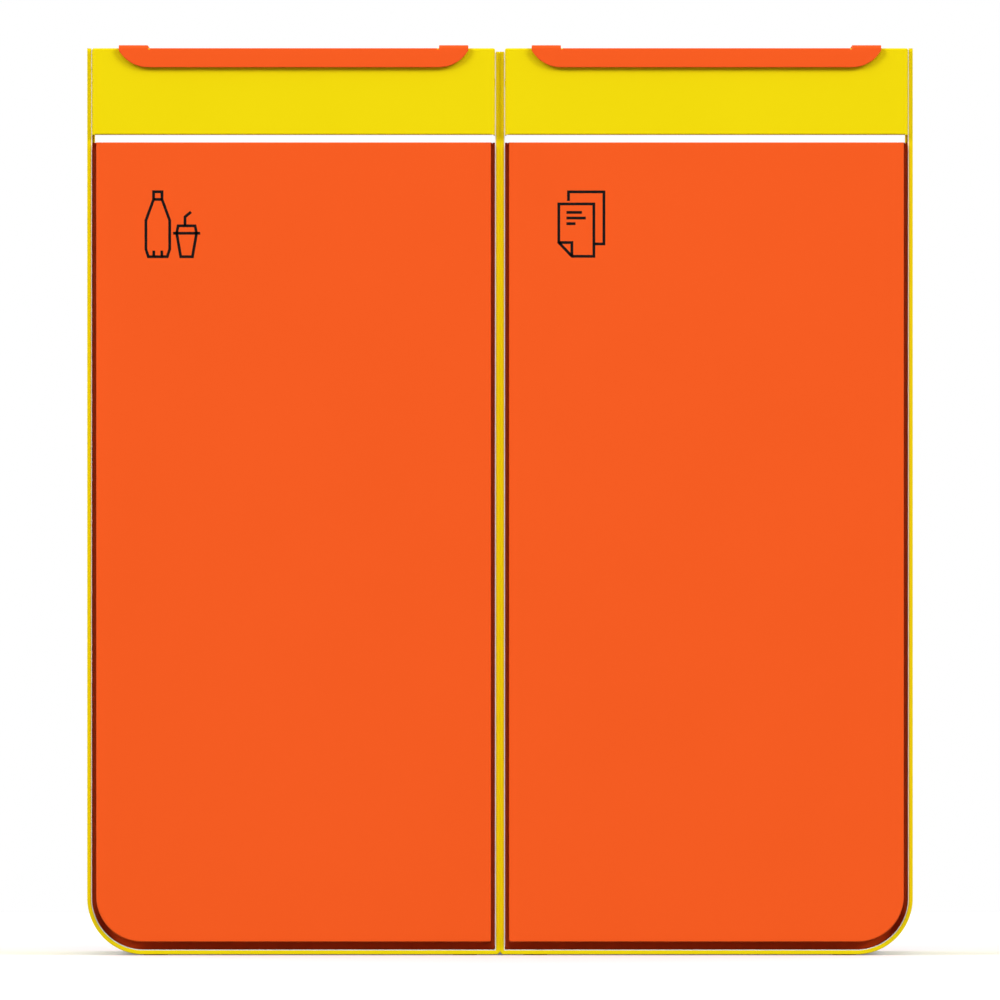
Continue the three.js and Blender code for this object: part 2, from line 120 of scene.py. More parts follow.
# Puts points (millimetres) and faces into a mesh object with outward faces, whose flat faces keep their own
# normals, and hands it to its body. A sheet is thickened inwards, and an edge is the width of its rounding.
def addPiece(name, shape, finish, body, replaced=(), mirror=False, sheet=0, edge=0):
    points, faces = shape
    points = np.asarray(points, float) * ((-0.001, 0.001, 0.001) if mirror else 0.001)
    mesh = bpy.data.meshes.new(name)
    mesh.from_pydata(points.tolist(), [], [list(map(int, face)) for face in faces])
    bm = bmesh.new()
    bm.from_mesh(mesh)
    bmesh.ops.remove_doubles(bm, verts=bm.verts, dist=meshFinish["weld"])
    bmesh.ops.dissolve_degenerate(bm, edges=bm.edges, dist=meshFinish["sliver"])
    bmesh.ops.recalc_face_normals(bm, faces=bm.faces)
    bm.to_mesh(mesh)
    bm.free()
    mesh.shade_smooth()
    mesh.set_sharp_from_angle(angle=math.radians(meshFinish["crease"]))
    piece = bpy.data.objects.new(name, mesh)
    bpy.context.scene.collection.objects.link(piece)
    if sheet:
        solidify = piece.modifiers.new("sheet thickness", "SOLIDIFY")
        solidify.thickness = sheet / 1000
        solidify.offset = -1
        solidify.use_even_offset = True
    if edge:
        bevel = piece.modifiers.new("coated edge", "BEVEL")
        bevel.width = edge / 1000
        bevel.segments = meshFinish["bevelSteps"]
        bevel.limit_method = "ANGLE"
        bevel.angle_limit = math.radians(meshFinish["bevelAngle"])
    weighted = piece.modifiers.new("flat faces stay flat", "WEIGHTED_NORMAL")
    weighted.keep_sharp = True
    mesh.materials.append(finish["material"])
    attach(piece, body)
    if replaced:
        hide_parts(*replaced)


# Makes a piece of the right-hand unit and its mirror image on the left: x becomes -x.
def addPair(name, shape, finish, body, *nodes, **options):
    for side in ("left", "right"):
        where = body if body == "housing" else f"{side}_{body}"
        addPiece(f"{side}_{name}_visual", shape, finish, where, [f"{side}_{n}" for n in nodes],
                 mirror=side == "left", **options)


# An empty node material, with the object coordinates that its patterns are placed by.
def newMaterial(name):
    material = bpy.data.materials.new(name)
    material.use_nodes = True
    material.node_tree.nodes.clear()
    place = addNode(material.node_tree, "ShaderNodeTexCoord").outputs["Object"]
    return material, material.node_tree, place


# Joins the shader to the output.
def closeMaterial(tree, shader):
    addNode(tree, "ShaderNodeOutputMaterial", {"Surface": shader.outputs["BSDF"]})


# Polyester powder coat, sprayed on steel and stoved: satin, evenly coloured, with the shallow ripple of
# melted powder ("orange peel"). The real ripple is about 0.8 mm wide; it is drawn at 1.6 mm to show.
powderCoat = {"rippleWidth": 1.6, "rippleDepth": 0.012, "cloudWidth": 140, "shade": 0.965,
              "roughness": (0.45, 0.55), "specular": 0.08}


# Powder coat in one colour: clouds of noise shade it by a few hundredths and vary its gloss.
def powderCoatOn(name, slot, colour):
    v = powderCoat
    material, tree, place = newMaterial(name)
    ripple = addNode(tree, "ShaderNodeTexNoise",
                     {"Vector": place, "Scale": 1000 / v["rippleWidth"], "Detail": 1.0, "Roughness": 0.4})
    cloud = addNode(tree, "ShaderNodeTexNoise",
                    {"Vector": place, "Scale": 1000 / v["cloudWidth"], "Detail": 3.0, "Roughness": 0.55})
    full = linear(colour)
    dull = (*[c * v["shade"] for c in full[:3]], 1.0)
    tint = addNode(tree, "ShaderNodeMix", {0: cloud.outputs["Fac"], 6: dull, 7: full}, data_type="RGBA")
    rough = addNode(tree, "ShaderNodeMapRange",
                    {"Value": cloud.outputs["Fac"], "From Min": 0.3, "From Max": 0.7,
                     "To Min": v["roughness"][0], "To Max": v["roughness"][1]})
    bump = addNode(tree, "ShaderNodeBump", {"Height": ripple.outputs["Fac"], "Strength": 0.5,
                                            "Distance": v["rippleDepth"] / 1000})
    shader = addNode(tree, "ShaderNodeBsdfPrincipled",
                     {"Base Color": tint.outputs[2], "Roughness": rough.outputs["Result"],
                      "Normal": bump.outputs["Normal"], "Specular IOR Level": v["specular"], "IOR": 1.5})
    closeMaterial(tree, shader)
    return {"material": material, "slot": slot}


# Mild steel, bright zinc plated in a bath: metallic, slightly cloudy, with a cool cast.
zincPlate = {"name": "bright zinc plated steel", "slot": "zinc_steel", "dark": "b4bbc2", "light": "d3d3cd",
             "cloudWidth": 6.0, "roughness": (0.24, 0.38)}


# Plated metal: clouds of noise go from the dark to the light tone and from smooth to rough.
def platedSteel(v):
    material, tree, place = newMaterial(v["name"])
    cloud = addNode(tree, "ShaderNodeTexNoise",
                    {"Vector": place, "Scale": 1000 / v["cloudWidth"], "Detail": 4.0})
    tint = addNode(tree, "ShaderNodeMix",
                   {0: cloud.outputs["Fac"], 6: linear(v["dark"]), 7: linear(v["light"])}, data_type="RGBA")
    rough = addNode(tree, "ShaderNodeMapRange",
                    {"Value": cloud.outputs["Fac"], "From Min": 0.3, "From Max": 0.7,
                     "To Min": v["roughness"][0], "To Max": v["roughness"][1]})
    shader = addNode(tree, "ShaderNodeBsdfPrincipled",
                     {"Base Color": tint.outputs[2], "Roughness": rough.outputs["Result"], "Metallic": 1.0})
    closeMaterial(tree, shader)
    return {"material": material, "slot": v["slot"]}


# EPDM rubber, moulded: matt pale grey, with a fine dusty grain. The real grain is about 0.2 mm wide; it is
# drawn at 0.5 mm to show.
greyRubber = {"name": "moulded EPDM rubber", "slot": "grey_rubber", "dark": "b2b2ae", "light": "c6c6c2",
              "grain": 0.5, "depth": 0.03, "roughness": 0.82, "specular": 0.5}
# Polyethylene, extruded in strips: off-white and waxy, with faint clouds.
polyethylene = {"name": "extruded polyethylene", "slot": "pale_plastic", "dark": "ecece8", "light": "f6f6f3",
                "grain": 9.0, "depth": 0.02, "roughness": 0.42, "specular": 0.5}
# Screen-printing ink, one pass: dense and matt black, with the mesh just felt in it. The real mesh is about
# 0.1 mm wide; it is drawn at 0.8 mm to show.
printingInk = {"name": "screen-printed ink", "slot": "black_ink", "dark": "010101", "light": "060606",
               "grain": 0.8, "depth": 0.005, "roughness": 0.7, "specular": 0.1}


# A plastic, rubber or ink whose noise of one grain tints and raises it: tint = dark + noise * (light - dark).
def grained(v):
    material, tree, place = newMaterial(v["name"])
    speck = addNode(tree, "ShaderNodeTexNoise", {"Vector": place, "Scale": 1000 / v["grain"], "Detail": 3.0})
    tint = addNode(tree, "ShaderNodeMix",
                   {0: speck.outputs["Fac"], 6: linear(v["dark"]), 7: linear(v["light"])}, data_type="RGBA")
    bump = addNode(tree, "ShaderNodeBump", {"Height": speck.outputs["Fac"], "Strength": 0.4,
                                            "Distance": v["depth"] / 1000})
    shader = addNode(tree, "ShaderNodeBsdfPrincipled",
                     {"Base Color": tint.outputs[2], "Normal": bump.outputs["Normal"],
                      "Roughness": v["roughness"], "Specular IOR Level": v["specular"], "IOR": 1.5})
    closeMaterial(tree, shader)
    return {"material": material, "slot": v["slot"]}


yellowCoat = powderCoatOn("yellow polyester powder coat", "yellow_paint", "f2da00")
orangeCoat = powderCoatOn("orange polyester powder coat", "orange_paint", "f65b1d")
zinc = platedSteel(zincPlate)
rubber = grained(greyRubber)
slidePlastic = grained(polyethylene)
ink = grained(printingInk)
print("finishes made")


# Points on each arc of the upright outline, and the least radius that an inset leaves of its tight arc.
outlineForm = {"tightPoints": 7, "largePoints": 29, "foldPoints": 9, "leastRadius": 0.35}


# The upright outline that sleeve, container and front panel share, at any inset from the outside: down the
# inner wall, a tight arc, along the floor, a large arc, up the outer wall. An inset shrinks both arcs about
# their centres. With a fold, each wall goes on over its top in a half circle and down inside the wall.
def uprightPath(inset, x0, x1, z0, tight, large, innerTop, outerTop, fold=0, foldDepth=0):
    d = np.asarray(inset, float).reshape(-1, 1)
    same = np.ones_like(d)
    small = np.maximum(tight - d, outlineForm["leastRadius"])
    big = large - d
    a = np.linspace(pi, 1.5 * pi, outlineForm["tightPoints"])
    b = np.linspace(1.5 * pi, 2 * pi, outlineForm["largePoints"])
    xs = [x0 + d, x0 + d + small + small * np.cos(a), x1 - d - big + big * np.cos(b), x1 - d]
    zs = [(innerTop - fold) * same, z0 + d + small + small * np.sin(a), z0 + d + big + big * np.sin(b),
          (outerTop - fold) * same]
    if fold:
        c = np.linspace(0, pi, outlineForm["foldPoints"])
        r = fold - d
        xs = [x0 + 2 * fold - d, x0 + fold + r * np.cos(c[:-1]), *xs]
        zs = [(innerTop - foldDepth) * same, innerTop - fold + r * np.sin(c[:-1]), *zs]
        xs += [x1 - fold + r * np.cos(c[1:]), x1 - 2 * fold + d]
        zs += [outerTop - fold + r * np.sin(c[1:]), (outerTop - foldDepth) * same]
    return np.concatenate(xs, 1), np.concatenate(zs, 1)


# A closed section of inset and depth, carried along the upright outline, with both ends closed.
def carriedUpright(section, **outline):
    x, z = uprightPath(section[:, 0], **outline)
    rows, columns = x.shape
    points = np.stack([x, np.broadcast_to(section[:, 1:2], x.shape), z], -1).reshape(-1, 3)
    ends = [(np.arange(rows) * columns + c).tolist() for c in (0, columns - 1)]
    return points, gridQuads(rows, columns, closeRows=True).tolist() + ends


# A pan or plate with the upright outline: an open section of inset and depth is carried along it, its two
# ends are filled by the outer and inner face, and the top edge of the faces is folded over along the
# section given in depth and height, between the first and last point of the face's own outline.
def carriedPlate(section, topFold, drop, **outline):
    x, z = uprightPath(section[:, 0], **outline)
    rows, columns = x.shape
    onFace = np.arange(rows)[:, None] % (rows - 1) == 0
    z = np.where(onFace, np.minimum(z, outline["outerTop"] - drop), z)
    points = np.stack([x, np.broadcast_to(section[:, 1:2], x.shape), z], -1).reshape(-1, 3)
    n, k, last = rows * columns, len(topFold), (rows - 1) * columns
    folds = [np.column_stack([np.full(k, x[0, c]), topFold]) for c in (0, -1)]
    nearEnd = [0, *range(n, n + k), last]
    farEnd = [columns - 1, *range(n + k, n + 2 * k), last + columns - 1]
    strips = [[nearEnd[i], nearEnd[i + 1], farEnd[i + 1], farEnd[i]] for i in range(k + 1)]
    ends = [(np.arange(rows) * columns + c).tolist() for c in (0, columns - 1)]
    faces = [list(range(columns)), list(range(last, last + columns))]
    return (np.vstack([points, *folds]),
            gridQuads(rows, columns).tolist() + ends + faces + strips + [nearEnd, farEnd])


# A closed section of depth and height, carried along X, with closed ends.
def carriedAcross(section, x0, x1):
    count = len(section)
    points = np.concatenate([np.column_stack([np.full(count, x), section]) for x in (x0, x1)])
    ends = [list(range(count)), list(range(count, 2 * count))]
    return points, gridQuads(2, count, closeColumns=True).tolist() + ends


# A profile of distance along the axis and radius, turned round the axis. Where the flag is 1 the radius
# follows a hexagon: apothem / cos(angle from the middle of its flat).
def turned(profile, start, axis, sides=36, hexagonal=None, closed=False):
    profile = np.asarray(profile, float)
    angle = np.linspace(0, 2 * pi, sides, endpoint=False)
    flat = 1 / np.cos((angle + pi / 6) % (pi / 3) - pi / 6)
    flags = np.zeros(len(profile)) if hexagonal is None else np.asarray(hexagonal, float)
    radius = profile[:, 1:] * (1 + flags[:, None] * (flat - 1))
    axis = np.asarray(axis, float)
    side = np.roll(np.abs(axis), 1)
    up = np.cross(axis, side)
    points = (np.asarray(start, float) + profile[:, 0, None, None] * axis
              + radius[..., None] * (np.cos(angle)[:, None] * side + np.sin(angle)[:, None] * up))
    return points.reshape(-1, 3), gridQuads(len(profile), sides, closeRows=closed, closeColumns=True).tolist()


# The photograph has no perspective to be seen, so a very long lens from far away: 0.993 m across the frame
# at the bin's front, square on, at half the frame's height above the floor.
photoView = {"lens": 1500, "sensor": 36, "distance": 41.375, "front": -0.201, "height": 0.4522,
             "farthest": 120}
camera = bpy.data.objects.new("camera", bpy.data.cameras.new("camera"))
bpy.context.scene.collection.objects.link(camera)
camera.data.lens = photoView["lens"]
camera.data.sensor_width = photoView["sensor"]
camera.data.clip_end = photoView["farthest"]
camera.location = (0, photoView["front"] - photoView["distance"], photoView["height"])
camera.rotation_euler = (pi / 2, 0, 0)
bpy.context.scene.camera = camera
bpy.context.scene.view_settings.view_transform = "Standard"


# Sleeve: one sheet folded to a U. Its front and rear edges are folded back on themselves, with a gap between
# the two plies, so the section is a long bar with a slot and a second ply at each end. Round weld bosses
# inside its walls take the hood's screws.
sleeveForm = {"sheet": 1.5, "hem": 4.0, "hemDepth": 15.0, "nose": 0.7, "slotStart": 2.0, "slotRounding": 0.45,
              "cutEdge": 0.3, "footRadius": 56.0, "tightRadius": 4.0, "innerDrop": 3.3, "bossRadius": 7.0,
              "bossHole": 2.8, "bossHeight": 3.3, "bossEdges": (0.1, 0.2, 0.5, 0.1), "bossSink": 0.1}


# The section, with every corner rounded by a radius of its own, is carried along the upright outline. A boss
# is a rectangle of height and radius, turned round a screw's axis and sunk a little into the wall.
def sleeveShape():
    v = sleeveForm
    low, high = cadBox("right_sleeve")
    y0, y1, t, h, s = low[1], high[1], v["sheet"], v["hem"], v["slotStart"]
    near, far = y0 + v["hemDepth"], y1 - v["hemDepth"]
    nose, slot, cutEdge, sink = v["nose"], v["slotRounding"], v["cutEdge"], v["bossSink"]
    section = roundCorners(
        [(0, y0), (0, y1), (h, y1), (h, far), (h - t, far), (h - t, y1 - s),
         (t, y1 - s), (t, y0 + s), (h - t, y0 + s), (h - t, near), (h, near), (h, y0)],
        [nose, nose, nose, cutEdge, cutEdge, slot, slot, slot, slot, cutEdge, cutEdge, nose])
    body = carriedUpright(section, x0=low[0], x1=high[0], z0=low[2], tight=v["tightRadius"],
                          large=v["footRadius"], innerTop=high[2] - v["innerDrop"], outerTop=high[2])
    height, hole, radius = v["bossHeight"], v["bossHole"], v["bossRadius"]
    ring = roundCorners([(0, hole), (height, hole), (height, radius), (0, radius)], v["bossEdges"], 3)
    bosses = []
    for place in ("front", "rear"):
        lowScrew, highScrew = cadBox(f"right_{place}_inner_hood_screw")
        y, z = (lowScrew[1:] + highScrew[1:]) / 2
        bosses.append(turned(ring, (low[0] + t - sink, y, z), (1, 0, 0), closed=True))
        bosses.append(turned(ring, (high[0] - t + sink, y, z), (-1, 0, 0), closed=True))
    return merged(body, *bosses)


addPair("sleeve", sleeveShape(), yellowCoat, "housing", "sleeve")
print("sleeves made")


# Edge strip: a thin pale band clipped inside the front hem, all the way round the container.
edgeStripForm = {"thickness": 0.8, "tightRadius": 0.5, "footRadius": 52.0, "innerDrop": 3.3, "rounding": 0.25}


# A thin rectangle of inset and depth with rounded corners, carried along the upright outline.
def edgeStripShape():
    v = edgeStripForm
    low, high = cadBox("right_edge_strip")
    t = v["thickness"]
    section = roundCorners([(0, low[1]), (0, high[1]), (t, high[1]), (t, low[1])], v["rounding"], 2)
    return carriedUpright(section, x0=low[0], x1=high[0], z0=low[2], tight=v["tightRadius"],
                          large=v["footRadius"], innerTop=high[2] - v["innerDrop"], outerTop=high[2])


# Glide strip: a flat bar, rounded at its corners in plan and along its upper edge.
glideForm = {"corner": 6.0, "edge": 0.9, "chamfer": 0.2}


# Its rows are the plan's outline, level for level: over the foot's chamfer, then moved in by the edge's
# radius times 1 - cos, and up by the radius times sin.
def glideShape(node):
    v = glideForm
    low, high = cadBox(node)
    r, chamfer = v["edge"], v["chamfer"]
    a = np.linspace(0, pi / 2, 6)
    levels = [(chamfer, low[2]), (0.0, low[2] + chamfer),
              *zip(r - r * np.cos(a), high[2] - r + r * np.sin(a))]
    rows = []
    for inset, z in levels:
        x0, x1, y0, y1 = low[0] + inset, high[0] - inset, low[1] + inset, high[1] - inset
        outline = roundCorners([(x0, y0), (x1, y0), (x1, y1), (x0, y1)], v["corner"] - inset, 8)
        rows.append(np.column_stack([outline, np.full(len(outline), z)]))
    count = len(rows[0])
    last = (len(rows) - 1) * count
    caps = [list(range(count)), list(range(last, last + count))]
    return np.vstack(rows), gridQuads(len(rows), count, closeColumns=True).tolist() + caps


addPair("edge_strip", edgeStripShape(), slidePlastic, "housing", "edge_strip")
for place in ("inner", "outer"):
    addPair(f"{place}_glide_strip", glideShape(f"right_{place}_glide_strip"), slidePlastic, "housing",
            f"{place}_glide_strip")
print("strips made")


# Hood: a tray, open below, with a drop opening in its top and folded returns along the foot of its front and
# rear walls. Behind the step in its sides the foot lies higher.
hoodForm = {"sheet": 1.5, "corner": 2.5, "bend": 1.7, "return": 14.0, "returnBend": 1.6, "rearLift": 10.0,
            "sideStep": 100.0, "stepWidth": 0.4, "dropWidth": 289.0, "frontMargin": 35.0, "rearMargin": 25.0,
            "dropCorner": 18.0, "edge": 0.3, "edgeCut": 0.1}


# A rounded rectangle, counter-clockwise from above, with an extra point near each end of the front and rear
# sides and two at the step in each long side, and the outward normal and kind (-1 front, 1 rear) of each.
def hoodRing(x0, x1, y0, y1, r, stepY):
    a = np.linspace(0, pi / 2, 7)
    gap = hoodForm["stepWidth"]
    corners = [(x1 - r, y0 + r, -pi / 2), (x1 - r, y1 - r, 0), (x0 + r, y1 - r, pi / 2), (x0 + r, y0 + r, pi)]
    straights = [([(x1, stepY), (x1, stepY + gap)], (1, 0), 0),
                 ([(x1 - r - gap, y1), (x0 + r + gap, y1)], (0, 1), 1),
                 ([(x0, stepY + gap), (x0, stepY)], (-1, 0), 0),
                 ([(x0 + r + gap, y0), (x1 - r - gap, y0)], (0, -1), -1)]
    points, outward, kinds = [], [], []
    for (cx, cy, start), (places, normal, kind) in zip(corners, straights):
        turning = np.stack([np.cos(start + a), np.sin(start + a)], 1)
        points += [(cx, cy) + r * turning, np.array(places)]
        outward += [turning, np.tile(normal, (2, 1))]
        kinds += [np.zeros(len(a)), np.full(2, kind)]
    return np.vstack(points), np.vstack(outward), np.concatenate(kinds)


# Rings of points run over the top's bend, down the walls, round the returns, back up inside and along the
# drop opening. A ring is the rounded rectangle, moved inwards by the ring's inset, at the ring's height.
def hoodShape():
    v = hoodForm
    low, high = cadBox("right_hood")
    top, foot, t, e, cut = high[2], low[2], v["sheet"], v["edge"], v["edgeCut"]
    stepY = low[1] + v["sideStep"]
    middle = (low[0] + high[0]) / 2
    outer, normals, kind = hoodRing(low[0], high[0], low[1], high[1], v["corner"], stepY)
    drop, dropNormals = hoodRing(middle - v["dropWidth"] / 2, middle + v["dropWidth"] / 2,
                                 low[1] + v["frontMargin"], high[1] - v["rearMargin"], v["dropCorner"],
                                 stepY)[:2]
    lift = np.where(outer[:, 1] > stepY + v["stepWidth"] / 2, v["rearLift"], 0.0)
    bend = np.linspace(0, pi / 2, 7)
    r, inside = v["bend"], v["bend"] - t
    over = [(r - r * math.sin(a), top - r + r * math.cos(a)) for a in bend]
    under = [(r - inside * math.sin(a), top - r + inside * math.cos(a)) for a in bend[::-1]]
    # The foot's rings: plain on the long sides, and as many with the return at the front and the rear.
    plain = [(0.0, e), (cut, cut), (e, 0.0), *[(t / 2, 0.0)] * 8, (t - e, 0.0), (t - cut, cut), (t, e)]
    rr, ri, far = v["returnBend"], v["returnBend"] - t, v["return"]
    turn = np.linspace(0, pi / 2, 5)
    folded = [*[(rr - rr * math.cos(a), rr - rr * math.sin(a)) for a in turn],
              (far - e, 0.0), (far, e), (far, t - e), (far - e, t),
              *[(rr - ri * math.cos(a), rr - ri * math.sin(a)) for a in turn[::-1]]]
    rows = [(outer - normals * inset, np.full(len(outer), z)) for inset, z in over]
    for (plainInset, plainZ), (foldedInset, foldedZ) in zip(plain, folded):
        inset = np.where(kind != 0, foldedInset, plainInset)[:, None]
        rows.append((outer - normals * inset, foot + lift + np.where(kind != 0, foldedZ, plainZ)))
    rows += [(outer - normals * inset, np.full(len(outer), z)) for inset, z in under]
    rows += [(drop + dropNormals * inset, np.full(len(drop), z))
             for inset, z in ((e, top - t), (0.0, top - t + e), (0.0, top - e), (e, top))]
    points = np.stack([np.column_stack([xy, z]) for xy, z in rows])
    return points.reshape(-1, 3), gridQuads(*points.shape[:2], closeRows=True, closeColumns=True).tolist()


addPair("hood", hoodShape(), yellowCoat, "housing", "hood")
print("hoods made")


# Top frame: one sheet with a window in it, bent down to a lip at the front and at the rear, with small relief
# notches where window and bend meet. Its mesh's columns lie at the stations, counted from either side: a few
# near it, then evenly spaced ones up to the window.
topFrameForm = {"sheet": 2.0, "bend": 3.0, "strap": 29.0, "lipCorner": 33.5, "relief": 2.0,
                "reliefDepth": 1.2, "edge": 0.9, "nearStations": (0, 0.8, 1.8, 3.2, 5), "evenFrom": 7.5,
                "evenStations": 9}


# The blank is a grid, with stations across it and rows along the sheet, from the foot of the front lip over
# the front bend, along the straps, over the rear bend to the foot of the rear lip. Cells inside the window
# are left out. The foot of each lip is an arc near its ends: its centre's height minus the root of (radius
# squared - x squared).
def topFrameShape():
    v = topFrameForm
    low, high = cadBox("right_top_frame")
    r, strap, relief, arcRadius = v["bend"], v["strap"], v["relief"], v["lipCorner"]
    width = high[0] - low[0]
    fromSide = np.concatenate([v["nearStations"], np.linspace(v["evenFrom"], strap, v["evenStations"]),
                               [strap + relief]])
    across = np.concatenate([fromSide, width - fromSide[::-1]])
    fromEnd = np.minimum(np.minimum(across, width - across), strap)
    foot = low[2] + arcRadius - np.sqrt(arcRadius ** 2 - (strap - fromEnd) ** 2)
    bend = np.linspace(0, pi / 2, 7)
    bendFoot = high[2] - r
    y = np.concatenate([[low[1]] * 2, low[1] + r - r * np.cos(bend),
                        high[1] - r + r * np.cos(bend[::-1]), [high[1]] * 2])
    bendZ = bendFoot + r * np.sin(bend)
    neck = [bendFoot - v["reliefDepth"]]
    z = np.concatenate([[0], neck, bendZ, bendZ[::-1], neck, [0]])
    rows = len(y)
    grid = np.stack(np.broadcast_arrays(low[0] + across[None, :], y[:, None], z[:, None]), -1).copy()
    grid[[0, -1], :, 2] = foot
    cells = gridQuads(rows, len(across)).reshape(rows - 1, len(across) - 1, 4)
    cellX = (across[:-1] + across[1:]) / 2
    inWindow = (cellX > strap) & (cellX < width - strap)
    inNotch = inWindow & ((cellX < strap + relief) | (cellX > width - strap - relief))
    row = np.arange(rows - 1)[:, None]
    lips = (row == 0) | (row == rows - 2)
    necks = (row == 1) | (row == rows - 3)
    keep = (lips | (necks & ~inNotch) | ~inWindow) & np.ones_like(cellX, bool)
    used, quads = np.unique(cells[keep], return_inverse=True)
    return grid.reshape(-1, 3)[used], quads.reshape(-1, 4).tolist()


addPair("top_frame", topFrameShape(), orangeCoat, "top_frame", "top_frame",
        sheet=topFrameForm["sheet"], edge=topFrameForm["edge"])
print("top frames made")


# Hinge: each leaf is a plate with every second knuckle rolled from it round the pin, held by domed rivets. A
# rivet's dome is given as height over its seat and share of its radius.
hingeForm = {"length": 240.0, "leaf": 1.2, "roll": 3.0, "bore": 1.8, "knuckles": 8, "gap": 0.4,
             "rollTurn": 300, "cutEdge": 0.3, "foldEdge": 0.05, "rivet": 2.1, "rivetSides": 20,
             "rivets": (-105, -35, 35, 105), "rivetShift": 1.5,
             "rivetDome": ((-0.4, 0), (-0.4, 0.9), (0, 1), (0.35, 0.92), (0.7, 0.6), (0.85, 0))}


# A knuckle's section goes up the plate and round two arcs about the pin, at the roll's radius and back at the
# bore's, and is carried across one pitch. The plate's section is a rectangle, carried across the whole leaf.
def leafShape(node, first, sign, rivetFace):
    v = hingeForm
    low, high = cadBox(node)
    pinLow, pinHigh = cadBox("right_hinge_pin")
    middle, y, z = (pinLow + pinHigh) / 2
    edgeZ = high[2] if sign > 0 else low[2]
    front, back = low[1], low[1] + v["leaf"]
    turn = np.radians(180 - np.linspace(0, v["rollTurn"], 31))
    around = np.stack([np.cos(turn), -sign * np.sin(turn)], 1)
    notch = z + sign * (v["roll"] + v["gap"])
    roll = np.vstack([[(front, notch)], (y, z) + v["roll"] * around, (y, z) + v["bore"] * around[::-1],
                      [(back, notch)]])
    start = middle - v["length"] / 2
    pitch = v["length"] / v["knuckles"]
    gap = v["gap"] / 2
    parts = [carriedAcross(roll, start + i * pitch + gap, start + (i + 1) * pitch - gap)
             for i in range(first, v["knuckles"], 2)]
    fold, cut = v["foldEdge"], v["cutEdge"]
    plate = roundCorners([(front, notch), (front, edgeZ), (back, edgeZ), (back, notch)],
                         [fold, cut, cut, fold], 3)
    parts.append(carriedAcross(plate, start + gap, start + v["length"] - gap))
    dome = [(up, out * v["rivet"]) for up, out in v["rivetDome"]]
    rivetZ = (notch + edgeZ) / 2 + sign * v["rivetShift"]
    parts += [turned(dome, (middle + offset, rivetFace, rivetZ), (0, 1, 0), v["rivetSides"])
              for offset in v["rivets"]]
    return merged(*parts)


# Pin: a rod with its ends peened round, given as the way in from the end and the share of the radius.
pinForm = {"peen": ((0, 0), (0, 0.6), (0.2, 0.85), (0.6, 1)), "sides": 24}


# The peened end and its mirror image at the other end, turned round the pin's axis.
def pinShape():
    low, high = cadBox("right_hinge_pin")
    length = high[0] - low[0]
    r = (high[2] - low[2]) / 2
    end = [(along, out * r) for along, out in pinForm["peen"]]
    profile = end + [(length - along, radius) for along, radius in end[::-1]]
    return turned(profile, (low[0], *((low[1:] + high[1:]) / 2)), (1, 0, 0), pinForm["sides"])


fixedFace = cadBox("right_hinge_fixed_leaf")[0][1] + hingeForm["leaf"]
lipBack = cadBox("right_top_frame")[1][1]
addPair("hinge_fixed_leaf", leafShape("right_hinge_fixed_leaf", 0, -1, fixedFace), zinc, "housing",
        "hinge_fixed_leaf")
addPair("hinge_moving_leaf", leafShape("right_hinge_moving_leaf", 1, 1, lipBack), zinc, "top_frame",
        "hinge_moving_leaf")
addPair("hinge_pin", pinShape(), zinc, "housing", "hinge_pin")
print("hinges made")


# Container: sides and floor are one sheet with its top edges folded inwards. The end walls are plates welded
# over its edges, folded inwards along the rim.
containerForm = {"sheet": 1.2, "fold": 1.25, "foldDepth": 12.0, "footRadius": 51.0, "tightRadius": 2.5,
                 "edge": 0.25, "edgeCut": 0.07, "faceInset": 2.7, "faceStep": 0.5}


# The sheet's end is a rectangle of inset and depth with rounded corners, carried along the upright outline
# and over the folds at its two ends.
def wrapShape():
    v = containerForm
    low, high = cadBox("right_container_wrap")
    t = v["sheet"]
    section = roundCorners([(0, low[1]), (0, high[1]), (t, high[1]), (t, low[1])], v["edge"], 2)
    return carriedUpright(section, x0=low[0], x1=high[0], z0=low[2], tight=v["tightRadius"],
                          large=v["footRadius"], innerTop=high[2], outerTop=high[2], fold=v["fold"],
                          foldDepth=v["foldDepth"])


# A fold along a top edge: the gap between the plies, the cut edge at its foot, and how far below the half
# circle the inner side of the fold ends.
foldForm = {"plyGap": 0.05, "cutEdge": 0.2, "innerDrop": 0.1}


# The fold's section in depth and height: over a half circle, whose radius is the sheet's thickness, down the
# second ply, and back up.
def topFoldSection(y, inwards, t, rim, depth):
    c = np.linspace(0, pi, outlineForm["foldPoints"])[1:-1]
    gap, cut, foot = foldForm["plyGap"], foldForm["cutEdge"], rim - depth
    over = np.stack([t - t * np.cos(c), rim - t + t * np.sin(c)], 1)
    back = np.array([(2 * t, rim - t), (2 * t, foot + cut), (2 * t - cut, foot), (t + gap + cut, foot),
                     (t + gap, foot + cut), (t + gap, rim - t - foldForm["innerDrop"])])
    return np.vstack([over, back]) * (inwards, 1) + (y, 0)


# The plate's edge section runs from its outer face round the cut edge to its inner face, and is carried along
# the upright outline; the faces fill what it goes round.
def endWallShape(node, inwards):
    v = containerForm
    low, high = cadBox(node)
    t, e, cut, near = v["sheet"], v["edge"], v["edgeCut"], v["faceInset"]
    second = near - v["faceStep"]
    y = low[1] if inwards > 0 else high[1]
    section = np.array([(near, 0), (second, 0), (e, 0), (cut, cut), (0, e), (0, t - e), (cut, t - cut),
                        (e, t), (second, t), (near, t)]) * (1, inwards) + (0, y)
    fold = topFoldSection(y, inwards, t, high[2], v["foldDepth"])
    return carriedPlate(section, fold, t, x0=low[0], x1=high[0], z0=low[2], tight=v["tightRadius"],
                        large=v["footRadius"], innerTop=high[2], outerTop=high[2])


